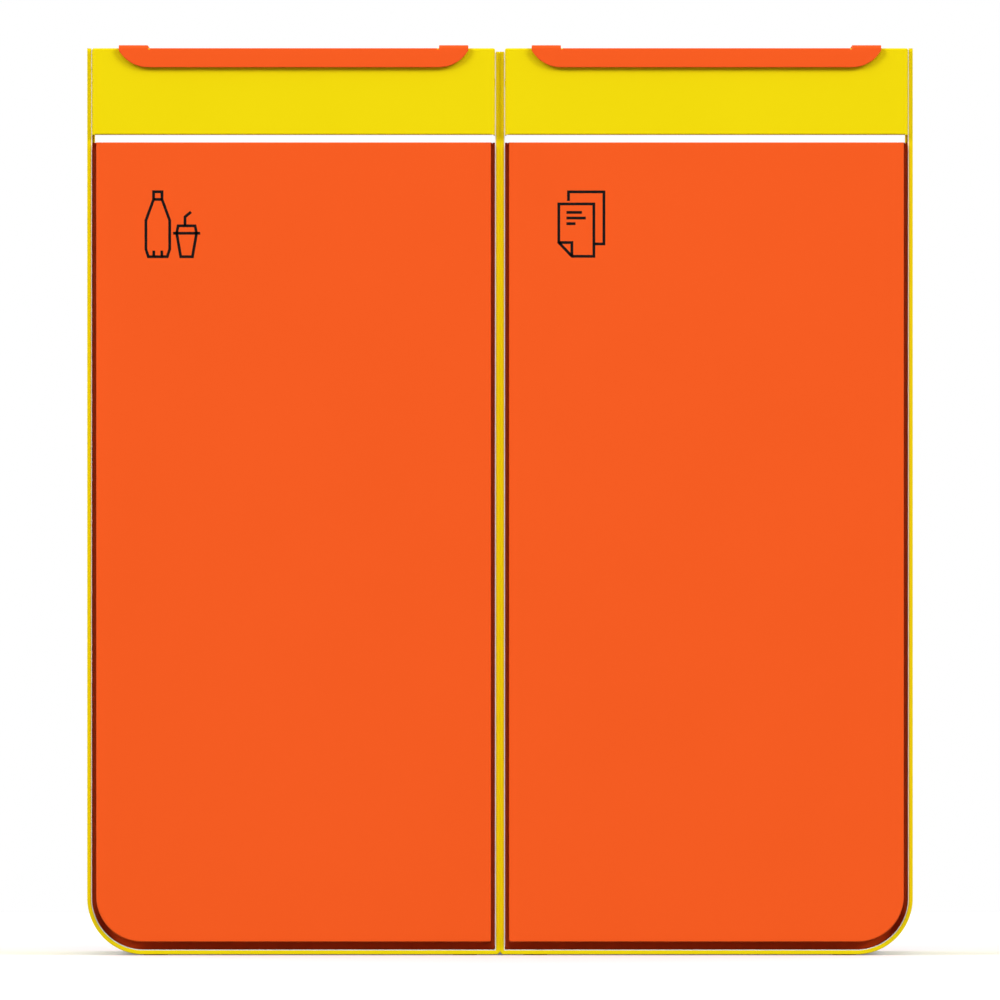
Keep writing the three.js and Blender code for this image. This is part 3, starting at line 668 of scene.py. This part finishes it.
addPair("container_wrap", wrapShape(), orangeCoat, "container", "container_wrap")
addPair("container_front_wall", endWallShape("right_container_front_wall", 1), orangeCoat, "container",
        "container_front_wall")
addPair("container_back_wall", endWallShape("right_container_back_wall", -1), orangeCoat, "container",
        "container_back_wall")
print("containers made")


# Front panel: a pan, with a flange all round behind its edges and its top edge folded over.
panelForm = {"sheet": 1.2, "bend": 1.35, "flange": 16.0, "cornerRadius": 45.5, "tightRadius": 2.2,
             "foldInset": 6.2, "faceStep": 0.6, "foldDepth": 12.0, "edge": 0.2}


# Its edge section runs from the face round a bend, back along the side, round a second bend to the flange,
# and back inside, each bend a quarter circle; it is carried along the upright outline.
def panelShape():
    v = panelForm
    low, high = cadBox("right_front_panel")
    t, r, e, y0, y1 = v["sheet"], v["bend"], v["edge"], low[1], high[1]
    a = np.linspace(0, pi / 2, 7)
    inside = r - t
    frontBend = np.stack([r - r * np.sin(a), y0 + r - r * np.cos(a)], 1)
    rearBend = np.stack([r - r * np.cos(a), y1 - r + r * np.sin(a)], 1)
    rearInner = np.stack([r - inside * np.sin(a), y1 - r + inside * np.cos(a)], 1)
    frontInner = np.stack([r - inside * np.cos(a), y0 + r - inside * np.sin(a)], 1)
    end, near = v["flange"] + t, v["foldInset"]
    second = near - v["faceStep"]
    section = np.vstack([[(near, y0), (second, y0)], frontBend, rearBend,
                         [(end - e, y1), (end, y1 - e), (end, y1 - t + e), (end - e, y1 - t)],
                         rearInner, frontInner, [(second, y0 + t), (near, y0 + t)]])
    fold = topFoldSection(y0, 1, t, high[2], v["foldDepth"])
    return carriedPlate(section, fold, t, x0=low[0], x1=high[0], z0=low[2], tight=v["tightRadius"],
                        large=v["cornerRadius"], innerTop=high[2], outerTop=high[2])


# Finger trough behind the top of the panel: a folded channel, higher at the back than at the front.
troughForm = {"sheet": 1.2, "lip": 12.0, "bend": 2.0, "cutEdge": 0.4}


# The channel's section, with its bends and cut edges rounded, is carried across.
def troughShape():
    v = troughForm
    low, high = cadBox("right_grip_trough")
    y0, y1, z0, z1, t = low[1], high[1], low[2], high[2], v["sheet"]
    bend, inside, cutEdge = v["bend"], v["bend"] - t, v["cutEdge"]
    section = roundCorners([(y0, z0), (y1, z0), (y1, z1), (y1 - t, z1), (y1 - t, z0 + t), (y0 + t, z0 + t),
                            (y0 + t, z0 + v["lip"]), (y0, z0 + v["lip"])],
                           [bend, bend, cutEdge, cutEdge, inside, inside, cutEdge, cutEdge])
    return carriedAcross(section, low[0], high[0])


addPair("front_panel", panelShape(), orangeCoat, "container", "front_panel")
addPair("grip_trough", troughShape(), orangeCoat, "container", "grip_trough")
print("front panels made")


# Rear stop: an angle welded to the sleeve's floor, whose upright edge the container meets.
stopForm = {"sheet": 2.0, "bend": 3.0, "cutEdge": 0.5, "topEdge": 0.6}


# The angle's section, with its bend and cut edges rounded, is carried across.
def stopShape():
    v = stopForm
    low, high = cadBox("right_rear_stop")
    y0, y1, z0, z1, t = low[1], high[1], low[2], high[2], v["sheet"]
    cut, top = v["cutEdge"], v["topEdge"]
    section = roundCorners([(y0, z0), (y1, z0), (y1, z0 + t), (y0 + t, z0 + t), (y0 + t, z1), (y0, z1)],
                           [v["bend"], cut, cut, v["bend"] - t, top, top])
    return carriedAcross(section, low[0], high[0])


addPair("rear_stop", stopShape(), yellowCoat, "housing", "rear_stop")


# Foot pad: a moulded disc with two ring grooves under it and its lower edge broken.
padForm = {"radius": 12.0, "grooves": (3.7, 7.7), "groove": 0.7, "depth": 0.25, "edge": 0.4, "edgeCut": 0.3}


# The profile goes from the middle of the foot outwards over the grooves, round the edge and up, and is turned
# round the pad's axis. Halfway round the edge it lies the cut's share of the edge inside the corner.
def padShape(node):
    v = padForm
    low, high = cadBox(node)
    centre = (low + high) / 2
    height, g, e, radius = high[2] - low[2], v["groove"] / 2, v["edge"], v["radius"]
    cut = v["edgeCut"] * e
    profile = [(0, 0)]
    for r in v["grooves"]:
        profile += [(0, r - 2 * g), (v["depth"], r - g), (v["depth"], r + g), (0, r + 2 * g)]
    profile += [(0, radius - e), (cut, radius - cut), (e, radius), (height, radius), (height, 0)]
    return turned(profile, (centre[0], centre[1], low[2]), (0, 0, 1), 48)


# Bumper: a low dome, flat at the foot, given as shares of its height and its radius.
bumperForm = {"radius": 5.0, "dome": ((0, 1), (0.38, 0.985), (0.69, 0.9), (0.9, 0.68), (1, 0.32), (1, 0))}


# The dome's profile, turned round the bumper's axis.
def bumperShape(node):
    v = bumperForm
    low, high = cadBox(node)
    centre = (low + high) / 2
    profile = [(0, 0), *[(up * (high[2] - low[2]), out * v["radius"]) for up, out in v["dome"]]]
    return turned(profile, (centre[0], centre[1], low[2]), (0, 0, 1), 36)


for place in ("front_inner", "front_outer", "rear_inner", "rear_outer"):
    addPair(f"{place}_foot_pad", padShape(f"right_{place}_foot_pad"), rubber, "housing", f"{place}_foot_pad")
for place in ("inner", "outer"):
    addPair(f"{place}_bumper", bumperShape(f"right_{place}_bumper"), rubber, "housing", f"{place}_bumper")


# Button-head screw with a hexagon socket. Its dome is given as height over the seat and share of the head's
# radius.
screwForm = {"head": 5.0, "headHeight": 2.4, "shank": 2.5, "tip": 0.5, "rim": 0.15,
             "dome": ((0.6, 1), (1.3, 0.93), (1.9, 0.78), (2.3, 0.52)),
             "socket": 1.5, "socketDepth": 1.5, "socketMouth": 0.5, "socketBevel": 0.25, "socketPoint": 0.3}


# The profile goes from the shank's tip to the head's rim, over the dome and down into the socket, and is
# turned round the screw's axis.
def screwShape(node, axis):
    v = screwForm
    low, high = cadBox(node)
    axis = np.array(axis, float)
    length = abs((high - low) @ axis)
    start = np.where(axis > 0, low, np.where(axis < 0, high, (low + high) / 2))
    seat, h, shank, tip, rim = length - v["headHeight"], v["head"], v["shank"], v["tip"], v["rim"]
    s, bottom = v["socket"], length - v["socketDepth"]
    profile = [(0, 0), (0, shank - tip), (tip, shank), (seat, shank), (seat, h - rim), (seat + rim, h),
               *[(seat + up, h * out) for up, out in v["dome"]],
               (length, s + v["socketMouth"]), (length - v["socketBevel"], s), (bottom, s),
               (bottom - v["socketPoint"], 0)]
    hexagonal = [0] * (len(profile) - 3) + [1, 1, 0]
    return turned(profile, start, axis, hexagonal=hexagonal)


for place in ("front", "rear"):
    for inOut, direction in (("inner", 1), ("outer", -1)):
        node = f"{place}_{inOut}_hood_screw"
        addPair(node, screwShape("right_" + node, (direction, 0, 0)), zinc, "housing", node)
for place in ("upper_inner", "upper_outer", "lower"):
    node = f"{place}_panel_screw"
    addPair(node, screwShape("right_" + node, (0, 1, 0)), zinc, "container", node)


# Coupling bolt: a flat head with a hexagon socket on each side of the two sleeves. Its rim is given as the
# way in from the face and the way in from the head's radius.
boltForm = {"head": 7.0, "headHeight": 1.8, "rim": ((0, 0.9), (0.12, 0.5), (0.5, 0.05), (0.9, 0)),
            "shank": 3.0, "socket": 2.0, "socketDepth": 1.0, "socketMouth": 0.3, "socketBevel": 0.1,
            "socketPoint": 0.2}


# The profile is one half, from the socket's floor over the head to the middle of the shank, and its mirror
# image, turned round the bolt's axis.
def boltShape(node):
    v = boltForm
    low, high = cadBox(node)
    length, head, s, depth = high[0] - low[0], v["head"], v["socket"], v["socketDepth"]
    half = [(depth + v["socketPoint"], 0), (depth, s), (v["socketBevel"], s), (0, s + v["socketMouth"]),
            *[(along, head - inwards) for along, inwards in v["rim"]],
            (v["headHeight"], head), (v["headHeight"], v["shank"])]
    flags = [0, 1, 1] + [0] * (len(half) - 3)
    profile = half + [(length - along, radius) for along, radius in half[::-1]]
    return turned(profile, (low[0], *((low[1:] + high[1:]) / 2)), (1, 0, 0), hexagonal=flags + flags[::-1])


for place in ("front", "rear"):
    for level in ("lower", "upper"):
        node = f"{place}_{level}_coupling_bolt"
        addPiece(f"{node}_visual", boltShape(node), zinc, "housing", [node])
print("stops, pads and fixings made")


# Pictograms, printed on the panels: the film stands over the panel's face by its thickness and starts just
# behind it. Points are in millimetres from each pictogram's middle at its foot.
pictogramForm = {"stroke": 2.8, "film": 0.06, "sink": 0.02, "foot": 692.3, "bottleAt": -339.8,
                 "cupAt": -311.2, "sheetsAt": 81.0}
bottle = [
    ([(-4.2, 66), (4.2, 66), (4.2, 58.4), (11.8, 37.6), (11.8, 9), (9.4, 1.5), (-9.4, 1.5), (-11.8, 9),
      (-11.8, 37.6), (-4.2, 58.4)], True),
    ([(-4.2, 58.4), (4.2, 58.4)], False),
    ([(-4.0, 1.5), (-4.0, 7.6)], False),
    ([(4.0, 1.5), (4.0, 7.6)], False)]
cup = [
    ([(-9.9, 24.8), (-5.8, 1.5), (5.8, 1.5), (9.9, 24.8)], False),
    ([(-13.5, 24.8), (13.5, 24.8)], False),
    ([(-9.9, 24.8), (-8.4, 32.2), (8.4, 32.2), (9.9, 24.8)], False),
    ([(-1.6, 32.2), (-1.6, 41.0), (4.4, 46.0)], False)]
sheets = [
    ([(-13.0, 56.9), (-13.0, 65.9), (22.2, 65.9), (22.2, 14.2), (13.0, 14.2)], False),
    ([(-22.6, 53.9), (12.2, 53.9), (12.2, 1.9), (-9.6, 1.9), (-22.6, 15.6)], True),
    ([(-22.6, 15.6), (-9.6, 15.6), (-9.6, 1.9)], False),
    ([(-15.0, 45.5), (0.4, 45.5)], False),
    ([(-15.0, 39.9), (4.2, 39.9)], False),
    ([(-15.0, 34.3), (-6.0, 34.3)], False)]


# A stroke of a given width along a line: its edges are the line's points moved half the width along the
# mitre of the neighbouring segments, (n0 + n1) / (1 + n0 . n1), on the film's face and on the panel's.
def strokeShape(line, closed, width, depths):
    line = np.asarray(line, float)
    before = line - np.roll(line, 1, 0)
    after = np.roll(line, -1, 0) - line
    if not closed:
        before[0], after[-1] = after[0], before[-1]
    n0, n1 = [np.stack([-d[:, 1], d[:, 0]], 1) / np.linalg.norm(d, axis=1, keepdims=True)
              for d in (before, after)]
    mitre = (n0 + n1) / (1 + (n0 * n1).sum(1, keepdims=True)) * width / 2
    edges = [(line + mitre, depths[0]), (line - mitre, depths[0]), (line - mitre, depths[1]),
             (line + mitre, depths[1])]
    points = np.vstack([np.column_stack([e[:, 0], np.full(len(e), depth), e[:, 1]]) for e, depth in edges])
    quads = gridQuads(4, len(line), closeRows=True, closeColumns=closed).tolist()
    ends = [] if closed else [(np.arange(4) * len(line) + c).tolist() for c in (0, len(line) - 1)]
    return points, quads + ends


# All strokes of a pictogram, moved to its place on the panel.
def printed(strokes, x):
    v = pictogramForm
    face = cadBox("right_front_panel")[0][1]
    depths = (face - v["film"], face + v["sink"])
    return merged(*[strokeShape([(x + u, v["foot"] + w) for u, w in line], closed, v["stroke"], depths)
                    for line, closed in strokes])


addPiece("left_pictogram_bottle", printed(bottle, pictogramForm["bottleAt"]), ink, "left_container")
addPiece("left_pictogram_cup", printed(cup, pictogramForm["cupAt"]), ink, "left_container")
addPiece("right_pictogram_sheets", printed(sheets, pictogramForm["sheetsAt"]), ink, "right_container")
print("pictograms made")


# 1 where the camera, gloss or glass sees a surface, 0 where it only lights something: the greatest of three
# ray flags.
def seenDirectly(tree):
    rays = addNode(tree, "ShaderNodeLightPath").outputs
    first = addNode(tree, "ShaderNodeMath", {0: rays["Is Camera Ray"], 1: rays["Is Glossy Ray"]},
                    operation="MAXIMUM")
    return addNode(tree, "ShaderNodeMath", {0: first.outputs[0], 1: rays["Is Transmission Ray"]},
                   operation="MAXIMUM").outputs[0]


# Painted studio floor: matt white where it is seen, and a duller grey for the light that it throws back, so
# that recesses near it stay dark. It keeps the bin's shadow.
floorForm = {"reach": 4.0, "seen": "ebebeb", "bounce": "505050", "roughness": (0.75, 0.9), "specular": 0.1,
             "speck": 16.0, "white": 0.17}


# Paint whose colour goes from the bounce to the seen one with the seen flag, and whose own glow is the flag
# times the white value.
def floorMaterial():
    v = floorForm
    material, tree, place = newMaterial("matt white floor paint")
    seen = seenDirectly(tree)
    speck = addNode(tree, "ShaderNodeTexNoise", {"Vector": place, "Scale": 1000 / v["speck"], "Detail": 2.0})
    rough = addNode(tree, "ShaderNodeMapRange",
                    {"Value": speck.outputs["Fac"], "To Min": v["roughness"][0], "To Max": v["roughness"][1]})
    tint = addNode(tree, "ShaderNodeMix", {0: seen, 6: linear(v["bounce"]), 7: linear(v["seen"])},
                   data_type="RGBA")
    glow = addNode(tree, "ShaderNodeMath", {0: seen, 1: v["white"]}, operation="MULTIPLY")
    paint = addNode(tree, "ShaderNodeBsdfPrincipled",
                    {"Base Color": tint.outputs[2], "Roughness": rough.outputs["Result"],
                     "Specular IOR Level": v["specular"], "Emission Color": (1, 1, 1, 1),
                     "Emission Strength": glow.outputs[0]})
    closeMaterial(tree, paint)
    return material


reach = floorForm["reach"]
floorMesh = bpy.data.meshes.new("floor")
floorMesh.from_pydata([(-reach, -reach, 0), (reach, -reach, 0), (reach, reach, 0), (-reach, reach, 0)], [],
                      [[0, 1, 2, 3]])
floorMesh.materials.append(floorMaterial())
floor = bpy.data.objects.new("floor", floorMesh)
bpy.context.scene.collection.objects.link(floor)

# World: a soft even dome for lighting, plain white where it is seen.
worldForm = {"dome": 0.31, "seen": 1.0}
world = bpy.data.worlds.new("studio")
bpy.context.scene.world = world
world.use_nodes = True
worldTree = world.node_tree
worldTree.nodes.clear()
dome = addNode(worldTree, "ShaderNodeBackground", {"Color": (1, 1, 1, 1), "Strength": worldForm["dome"]})
backdrop = addNode(worldTree, "ShaderNodeBackground", {"Color": (1, 1, 1, 1), "Strength": worldForm["seen"]})
mix = addNode(worldTree, "ShaderNodeMixShader",
              {0: seenDirectly(worldTree), 1: dome.outputs["Background"], 2: backdrop.outputs["Background"]})
addNode(worldTree, "ShaderNodeOutputWorld", {"Surface": mix.outputs["Shader"]})

# Soft lamps, each with its bearing from straight ahead (to the right is more), its height above the horizon,
# its strength and the angle that it covers. Three key lights shine on the front; the others lift the sides
# and the back.
lamps = {"middle key": (0, 28, 0.44, 12), "left key": (-43, 28, 1.29, 24), "right key": (43, 28, 1.29, 24),
         "left fill": (-84, 15, 1.1, 80), "right fill": (84, 15, 1.1, 80), "back fill": (186, 15, 1.8, 80)}
for lampName, (bearing, height, strength, spread) in lamps.items():
    lamp = bpy.data.objects.new(lampName, bpy.data.lights.new(lampName, "SUN"))
    lamp.data.energy = strength
    lamp.data.angle = math.radians(spread)
    lamp.rotation_euler = (math.radians(90 - height), 0, math.radians(bearing))
    bpy.context.scene.collection.objects.link(lamp)
print("stage and light made")
